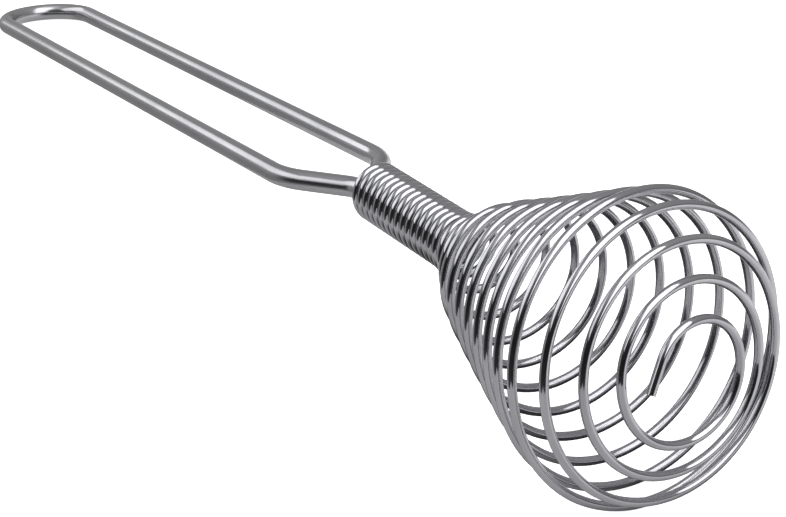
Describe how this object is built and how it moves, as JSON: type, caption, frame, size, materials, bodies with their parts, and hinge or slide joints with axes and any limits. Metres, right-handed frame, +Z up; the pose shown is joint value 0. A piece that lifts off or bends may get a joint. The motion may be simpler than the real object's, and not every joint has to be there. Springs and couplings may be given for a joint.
{
  "type": "spiral whisk",
  "caption": "Spring whisk of bent steel wire: a long looped handle whose legs hold a close-wound neck that opens into a springy bell-shaped coil for beating and whisking.",
  "frame": {"origin": "on the table, under the middle of the whisk's bounding box, as it lies on its loop's end and its bell's rim", "axes": "+X along the whisk from the loop to the tip of the bell, +Z up from the table, +Y across the loop"},
  "size_m": [0.2756, 0.0494, 0.049],
  "materials": {
    "handle_steel": "bright polished heavy wire",
    "spring_steel": "bright drawn spring wire"
  },
  "bodies": {
    "handle": {"handle_wire": "handle_steel"},
    "coil": {"whisk_coil": "spring_steel"}
  },
  "joints": [
    {"name": "head_compression", "type": "slide", "parent": "handle", "child": "coil", "axis": [0.9993, 0, 0.0385], "range_m": [-0.02, 0.01], "stiffness_N_per_m": 80, "deforming": ["whisk_coil"]}
  ]
}
